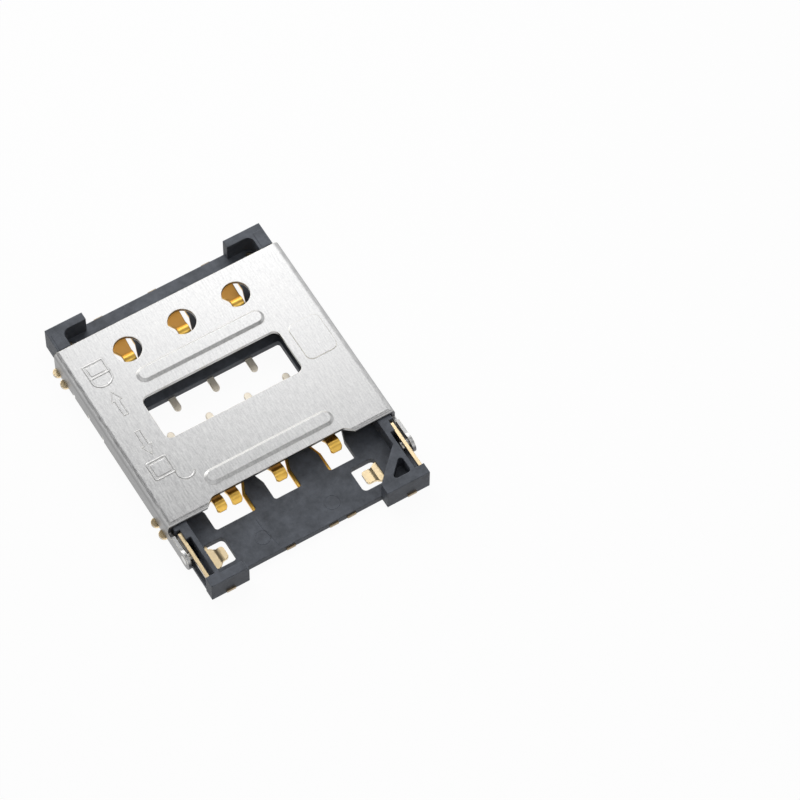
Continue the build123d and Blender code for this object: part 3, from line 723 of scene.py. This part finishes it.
def plateau(outline: Flat, slope: float, height: float, sink: float, base_z: float) -> Mesh:
    """Low flat boss: the outline under the surface, the outline at it, and the outline moved in at the top.

    Args:
        outline: closed path, counter-clockwise.
        slope: how far the top edge is moved in.
        height: height of the top.
        sink: how far the boss reaches under the surface.
        base_z: height of the surface.

    Returns:
        Points and faces.
    """
    count = len(outline)
    inward = mitres(outline, True)
    rings = [(0.0, -sink), (0.0, 0.0), (slope, height)]
    points = np.concatenate(
        [np.column_stack((outline + inward * inset, np.full(count, base_z + z))) for inset, z in rings]
    )
    j, i = np.meshgrid(np.arange(len(rings) - 1), np.arange(count), indexing="ij")
    i_next = (i + 1) % count
    quads = np.stack(
        (j * count + i, j * count + i_next, (j + 1) * count + i_next, (j + 1) * count + i), axis=-1
    )
    faces = [tuple(quad) for quad in quads.reshape(-1, 4).tolist()]
    faces.append(tuple(range(count - 1, -1, -1)))
    faces.append(tuple((len(rings) - 1) * count + k for k in range(count)))
    return points, faces


def joined(parts: Iterable[Mesh]) -> Mesh:
    """Puts several meshes into one.

    Args:
        parts: points and faces of each mesh.

    Returns:
        All points, and the faces with their point numbers counted on.
    """
    points: list[np.ndarray] = []
    faces: list[tuple[int, ...]] = []
    start = 0
    for part_points, part_faces in parts:
        points.append(part_points)
        faces += [tuple(k + start for k in face) for face in part_faces]
        start += len(part_points)
    return np.concatenate(points), faces


def add_piece(name: str, mesh: Mesh, material: bpy.types.Material, body: Body) -> None:
    """Makes an object of a mesh in millimetres, dresses it and lets it ride, with its place in its mesh.

    Args:
        name: the piece's name.
        mesh: points in millimetres and faces.
        material: its finish.
        body: the body that it rides on.
    """
    points, faces = mesh
    data = bpy.data.meshes.new(name)
    data.from_pydata((points * MM).tolist(), [], faces)
    data.validate()
    data.materials.append(material)
    data.shade_smooth()
    data.set_sharp_from_angle(angle=math.radians(SHARP_ANGLE_DEG))
    piece = bpy.data.objects.new(name, data)
    bpy.context.scene.collection.objects.link(piece)
    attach(piece, body.value)
    log.info("%s: %d faces on %s", name, len(faces), body.value)


@dataclass
class LidSigns:
    """Signs stamped in the lid's left margin: a closed and an open padlock, with an arrow towards each.

    Sizes and places are in millimetres and turns in degrees. The shares of the band's width say how far
    its sides slope and how far a cushion keeps away from the middle of the bands around it.
    """

    steel: bpy.types.Material
    rib_height: float = 0.10
    middle_x: float = -4.155
    half_width: float = 0.44
    corner: float = 0.09
    band: float = 0.10
    fine_band: float = 0.06
    slope_share: float = 0.30
    height: float = 0.012
    sink: float = 0.02
    gap_share: float = 0.95
    bar_gap_share: float = 0.85
    cushion_share: float = 0.6
    closed_top_y: float = 4.45
    closed_bar_y: float = 3.79
    bow_middle_y: float = 3.62
    bow_drop: float = 0.38
    bow_turn: Span = (180.0, 360.0)
    open_top_y: float = -0.76
    open_bottom_y: float = -1.62
    hook_middle: Pair = (-3.36, -1.80)
    hook_radii: Pair = (0.37, 0.36)
    hook_turn: Span = (180.0, 335.0)
    arrow_half_head: float = 0.22
    arrow_half_shaft: float = 0.10
    arrow_head: float = 0.46
    arrow_length: float = 1.22
    arrow_x: float = -4.13
    lock_tip_y: float = 2.88
    open_tip_y: float = -0.45

    def top_z(self) -> float:
        """Height of the flat of the lid, from the lid's own box and the height of its ribs."""
        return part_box("lid")[1].z / MM - self.rib_height

    def sides(self, inset: float = 0.0) -> Span:
        """Left and right X of the padlocks, moved in by an inset."""
        reach = self.half_width - inset
        return self.middle_x - reach, self.middle_x + reach

    def section(self, width: float) -> Flat:
        """Section of a raised band: sloped sides, flat top, sunk a little into the sheet.

        Args:
            width: the band's width.

        Returns:
            Offset and height in each row.
        """
        half = width / 2
        top = half - width * self.slope_share
        foot = [(-half, -self.sink), (half, -self.sink), (half, 0.0)]
        return np.array(foot + [(top, self.height), (-top, self.height), (-half, 0.0)])

    def band_along(self, path: Flat, closed: bool) -> Mesh:
        """A raised band along a path."""
        return carried(path, self.section(self.band), self.top_z(), closed)

    def cushion(self, low: float, high: float) -> Mesh:
        """A low cushion inside a padlock's body.

        Args:
            low: Y of its near edge.
            high: Y of its far edge.

        Returns:
            Points and faces.
        """
        corners = rectangle(self.sides(self.band * self.gap_share), (low, high))
        slope, height = self.band * self.slope_share, self.height * self.cushion_share
        return plateau(rounded_path(corners, self.corner), slope, height, self.sink, self.top_z())

    def closed_padlock(self) -> Mesh:
        """Body and shackle in one outline, with a bar between them.

        Returns:
            Points and faces.
        """
        left, right = self.sides()
        bow = arc_path((self.middle_x, self.bow_middle_y), (self.half_width, self.bow_drop), self.bow_turn)
        top = np.array([(right, self.closed_top_y), (left, self.closed_top_y)])
        bar = np.array([(left, self.closed_bar_y), (right, self.closed_bar_y)])
        low = self.closed_bar_y + self.band * self.bar_gap_share
        high = self.closed_top_y - self.band * self.gap_share
        outline = self.band_along(np.concatenate((bow, top)), True)
        return joined((outline, self.band_along(bar, False), self.cushion(low, high)))

    def open_padlock(self) -> Mesh:
        """Body with its shackle swung out to the side.

        Returns:
            Points and faces.
        """
        body = rectangle(self.sides(), (self.open_bottom_y, self.open_top_y))
        near_right = body[1:2]
        hook = arc_path(self.hook_middle, self.hook_radii, self.hook_turn)
        low = self.open_bottom_y + self.band * self.gap_share
        high = self.open_top_y - self.band * self.gap_share
        outline = self.band_along(rounded_path(body, self.corner), True)
        shackle = self.band_along(np.concatenate((near_right, hook)), False)
        return joined((outline, shackle, self.cushion(low, high)))

    def arrow(self, tip_y: float, way: Way) -> Mesh:
        """Outline of an arrow as a fine raised line.

        Args:
            tip_y: place of its tip.
            way: where it points.

        Returns:
            Points and faces.
        """
        neck = tip_y - way.value * self.arrow_head
        end = tip_y - way.value * self.arrow_length
        points = [
            (0.0, tip_y),
            (-self.arrow_half_head, neck),
            (-self.arrow_half_shaft, neck),
            (-self.arrow_half_shaft, end),
            (self.arrow_half_shaft, end),
            (self.arrow_half_shaft, neck),
            (self.arrow_half_head, neck),
        ]
        outline = np.array(points) + (self.arrow_x, 0.0)
        if way is Way.TO_OPEN:
            outline = outline[::-1]
        return carried(outline, self.section(self.fine_band), self.top_z(), True)

    def build(self) -> None:
        """Adds the four signs to the lid."""
        signs = {
            "lid_sign_closed_padlock": self.closed_padlock(),
            "lid_sign_open_padlock": self.open_padlock(),
            "lid_sign_arrow_to_lock": self.arrow(self.lock_tip_y, Way.TO_LOCK),
            "lid_sign_arrow_to_open": self.arrow(self.open_tip_y, Way.TO_OPEN),
        }
        for name, mesh in signs.items():
            add_piece(name, mesh, self.steel, Body.LID)


@dataclass
class HousingMarks:
    """Witness marks on the housing: rings of the mould's pins, a flow line and pads on the far blocks.

    Sizes and places are in millimetres and the rings' turn is in degrees.
    """

    plastic: bpy.types.Material
    floor_z: float = 0.32
    block_z: float = 1.25
    ring_places: tuple[Pair, ...] = ((1.20, -5.60), (-2.00, -5.55))
    ring_radius: float = 0.32
    ring_turn: Span = (0.0, 352.5)
    ring_steps: int = 48
    flow_line: tuple[Pair, ...] = ((-1.81, -4.72), (-1.79, -5.21), (-1.57, -6.30))
    ridge_width: float = 0.035
    ridge_height: float = 0.008
    ridge_top_share: float = 0.6
    sink: float = 0.01
    pad_x: Span = (4.57, 4.95)
    pad_y: Span = (5.66, 6.50)
    pad_height: float = 0.012
    pad_slope: float = 0.012
    pad_corner: float = 0.03
    pad_corner_steps: int = 3

    def ridge(self, path: Flat, closed: bool) -> Mesh:
        """A fine ridge on the floor, with a low arch over a sunk foot as its section.

        Args:
            path: the path's points.
            closed: whether the path is a ring.

        Returns:
            Points and faces.
        """
        half = self.ridge_width / 2
        top = half * self.ridge_top_share
        foot = [(-half, -self.sink), (half, -self.sink)]
        section = np.array(foot + [(top, self.ridge_height), (-top, self.ridge_height)])
        return carried(path, section, self.floor_z, closed)

    def ring(self, place: Pair) -> Mesh:
        """Ring that one of the mould's pins left."""
        return self.ridge(arc_path(place, (self.ring_radius,) * 2, self.ring_turn, self.ring_steps), True)

    def pad(self, side: Side) -> Mesh:
        """Low pad on top of a far block.

        Args:
            side: the side that the block stands on.

        Returns:
            Points and faces.
        """
        low, high = sorted(side.value * x for x in self.pad_x)
        outline = rounded_path(rectangle((low, high), self.pad_y), self.pad_corner, self.pad_corner_steps)
        return plateau(outline, self.pad_slope, self.pad_height, self.sink, self.block_z)

    def build(self) -> None:
        """Adds the rings, the flow line and the pads."""
        marks = {
            "housing_ejector_rings": joined(self.ring(place) for place in self.ring_places),
            "housing_flow_line": self.ridge(np.array(self.flow_line), False),
            "housing_block_pads": joined(self.pad(side) for side in Side),
        }
        for name, mesh in marks.items():
            add_piece(name, mesh, self.plastic, Body.HOUSING)


@dataclass
class Socket:
    """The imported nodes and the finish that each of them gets."""

    plastic: bpy.types.Material
    steel: bpy.types.Material
    gold: bpy.types.Material
    strip: bpy.types.Material
    pin: bpy.types.Material
    nodes: dict[str, bpy.types.Object] = field(default_factory=lambda: frame["nodes"])

    def finish_of(self, name: str) -> bpy.types.Material:
        """The finish for a node.

        Args:
            name: the node's name.

        Returns:
            The material.
        """
        if name == "housing":
            return self.plastic
        if name == "lid":
            return self.steel
        if name.startswith("hinge_pin"):
            return self.pin
        if name.startswith(("hinge_bridge", "side_frame")):
            return self.strip
        return self.gold

    def dress(self) -> None:
        """Gives every node its finish."""
        for name, node in self.nodes.items():
            material = self.finish_of(name)
            node.data.materials.clear()
            node.data.materials.append(material)
            log.info("%s: %s", name, material.name)


@dataclass(frozen=True)
class Lamp:
    """Soft lamp that looks at the object: it lights it and shows in shiny surfaces, but not to the camera.

    The place and the size, width and height, are in metres, and the power is in watts.
    """

    name: str
    place: Place
    size: Pair
    power: float

    def build(self) -> None:
        """Adds the lamp."""
        light = bpy.data.lights.new(self.name, "AREA")
        light.shape = "RECTANGLE"
        light.size, light.size_y = self.size
        light.energy = self.power
        lamp = bpy.data.objects.new(self.name, light)
        lamp.location = self.place
        lamp.rotation_euler = (-Vector(self.place)).to_track_quat("-Z", "Y").to_euler()
        lamp.visible_camera = False
        bpy.context.scene.collection.objects.link(lamp)


@dataclass
class Studio:
    """Soft light, pale floor and white surroundings.

    Sizes and places are in metres and the flag's turn is in degrees.
    """

    light_level: float = 0.62
    floor_half: float = 1.5
    floor_white: Colour = (0.90, 0.90, 0.90)
    floor_bounce: Colour = (0.30, 0.30, 0.31)
    floor_glow: float = 0.95
    floor_gap: float = 0.00001
    card_grey: Colour = (0.16, 0.16, 0.17)
    card_reach: float = 0.25
    card_height: float = 0.40
    flag_grey: float = 0.2
    flag_height: float = 0.040
    flag_edge: float = 0.025
    flag_turn: float = 40.7
    flag_length: float = 0.20
    flag_depth: float = 0.042
    lamps: tuple[Lamp, ...] = (
        Lamp("key_softbox", place=(-0.03, 0.17, 0.16), size=(0.12, 0.26), power=0.20),
        Lamp("near_softbox", place=(0.0105, -0.0165, 0.0340), size=(0.014, 0.010), power=0.0008),
        Lamp("sheen_softbox", place=(0.0100, 0.0228, 0.0290), size=(0.022, 0.022), power=0.0019),
    )

    def surroundings(self) -> None:
        """White surroundings that light the object a little less than they show."""
        world = bpy.data.worlds.new("studio")
        world.use_nodes = True
        sheet = NodeSheet(world.node_tree)
        strength = sheet.spread(sheet.seen_share(), WHOLE, (self.light_level, 1.0))
        background = sheet.filled("ShaderNodeBackground", Color=rgba(WHITE), Strength=strength)
        sheet.surface(background, "ShaderNodeOutputWorld")
        bpy.context.scene.world = world

    def panel(
        self, name: str, corners: Sequence[Sequence[float]], material: bpy.types.Material
    ) -> bpy.types.Object:
        """Flat four-cornered piece of the studio.

        Args:
            name: the piece's name.
            corners: its corners, in order.
            material: its finish.

        Returns:
            The new object.
        """
        data = bpy.data.meshes.new(name)
        data.from_pydata(corners, [], [(0, 1, 2, 3)])
        data.materials.append(material)
        piece = bpy.data.objects.new(name, data)
        bpy.context.scene.collection.objects.link(piece)
        piece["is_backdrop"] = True
        return piece

    def floor(self) -> None:
        """Pale floor that keeps the shadow and glows where it is seen, a hair under the object."""
        material, sheet = new_sheet("studio_floor")
        seen = sheet.seen_share()
        colour = sheet.blend(seen, rgba(self.floor_bounce), rgba(self.floor_white))
        matte = sheet.filled("ShaderNodeBsdfDiffuse", Color=colour)
        glow = sheet.filled("ShaderNodeEmission", Color=rgba(WHITE), Strength=1.0)
        mix = sheet.add("ShaderNodeMixShader")
        share = sheet.calc("MULTIPLY", seen, self.floor_glow)
        for socket, value in zip(mix.inputs, (share, matte.outputs[0], glow.outputs[0])):
            sheet.feed(socket, value)
        sheet.surface(mix)
        reach = (-self.floor_half, self.floor_half)
        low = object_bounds()[0].z - self.floor_gap
        self.panel("floor", [(*point, low) for point in rectangle(reach, reach).tolist()], material)

    def cards(self) -> None:
        """Dark upright cards at the near and the left side, which shade the faces that look there."""
        material, sheet = new_sheet("studio_card")
        sheet.surface(sheet.filled("ShaderNodeBsdfDiffuse", Color=rgba(self.card_grey)))
        reach, top = self.card_reach, self.card_height
        feet = {
            "near_card": ((-reach, -reach), (reach, -reach)),
            "left_card": ((-reach, -reach), (-reach, reach)),
        }
        for name, (start, end) in feet.items():
            card = self.panel(name, [(*start, 0.0), (*end, 0.0), (*end, top), (*start, top)], material)
            card.visible_camera = False
            card.visible_glossy = False

    def flag(self) -> None:
        """Dim level flag above the near left of the lid, which only shiny surfaces show, without a shadow."""
        material, sheet = new_sheet("studio_flag")
        sheet.surface(sheet.filled("ShaderNodeEmission", Color=rgba(WHITE), Strength=self.flag_grey))
        turn = math.radians(self.flag_turn)
        across = np.array((math.cos(turn), math.sin(turn)))
        along = np.array((-math.sin(turn), math.cos(turn)))
        front = np.array((self.flag_edge, 0.0))
        half, depth = along * self.flag_length / 2, across * self.flag_depth
        plan = (front - half, front + half, front + half - depth, front - half - depth)
        flag = self.panel("lid_flag", [(*point.tolist(), self.flag_height) for point in plan], material)
        flag.visible_camera = False
        flag.visible_diffuse = False
        flag.visible_shadow = False

    def build(self) -> None:
        """Sets up surroundings, floor, cards, flag and lamps."""
        self.surroundings()
        self.floor()
        self.cards()
        self.flag()
        for lamp in self.lamps:
            lamp.build()


@dataclass
class PhotoCamera:
    """Camera at the photo's viewing angle.

    Angles are in degrees, and the distance and how far the object's middle lies aside are in millimetres.
    """

    azimuth: float = -31.933
    elevation: float = 60.217
    roll: float = 0.868
    aside: Pair = (-6.648, -0.623)
    distance: float = 185.0
    focal_px: float = 4553.7
    sensor_mm: float = 36.0
    clip: Span = (0.001, 10.0)

    def axes(self) -> np.ndarray:
        """Right, up and back of the camera as rows.

        Back points from the object to the camera. Right is level. Up is back crossed with right. Then
        right and up turn about back by the roll.

        Returns:
            Three rows of three numbers.
        """
        turn, rise, roll = np.radians((self.azimuth, self.elevation, self.roll))
        back = np.array((math.sin(turn) * math.cos(rise), -math.cos(turn) * math.cos(rise), math.sin(rise)))
        right = np.array((math.cos(turn), math.sin(turn), 0.0))
        up = np.cross(back, right)
        rolled_right = math.cos(roll) * right + math.sin(roll) * up
        rolled_up = -math.sin(roll) * right + math.cos(roll) * up
        return np.array((rolled_right, rolled_up, back))

    def build(self) -> None:
        """Adds the camera and makes it the scene's."""
        axes = self.axes()
        place = axes.T @ np.array((-self.aside[0], -self.aside[1], self.distance)) * MM
        data = bpy.data.cameras.new("photo_camera")
        data.sensor_width = self.sensor_mm
        data.lens = self.focal_px * self.sensor_mm / PICTURE_SIDE_PX
        data.clip_start, data.clip_end = self.clip
        camera = bpy.data.objects.new("photo_camera", data)
        camera.matrix_world = Matrix.Translation(Vector(place)) @ Matrix(axes.T.tolist()).to_4x4()
        bpy.context.scene.collection.objects.link(camera)
        bpy.context.scene.camera = camera


def main() -> None:
    """Dresses the socket, adds its signs and marks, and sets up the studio."""
    logging.basicConfig(level=logging.INFO, format="%(name)s: %(message)s")
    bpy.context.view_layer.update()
    bpy.context.scene.view_settings.view_transform = "Standard"
    plastic = MouldedPlastic().make()
    steel = SatinSteel().make()
    gold = GoldPlate().make()
    strip = PlatedStrip().make()
    pin = PalePinSteel().make()
    Socket(plastic, steel, gold, strip, pin).dress()
    LidSigns(steel).build()
    HousingMarks(plastic).build()
    Studio().build()
    PhotoCamera().build()


if __name__ == "__main__":
    main()
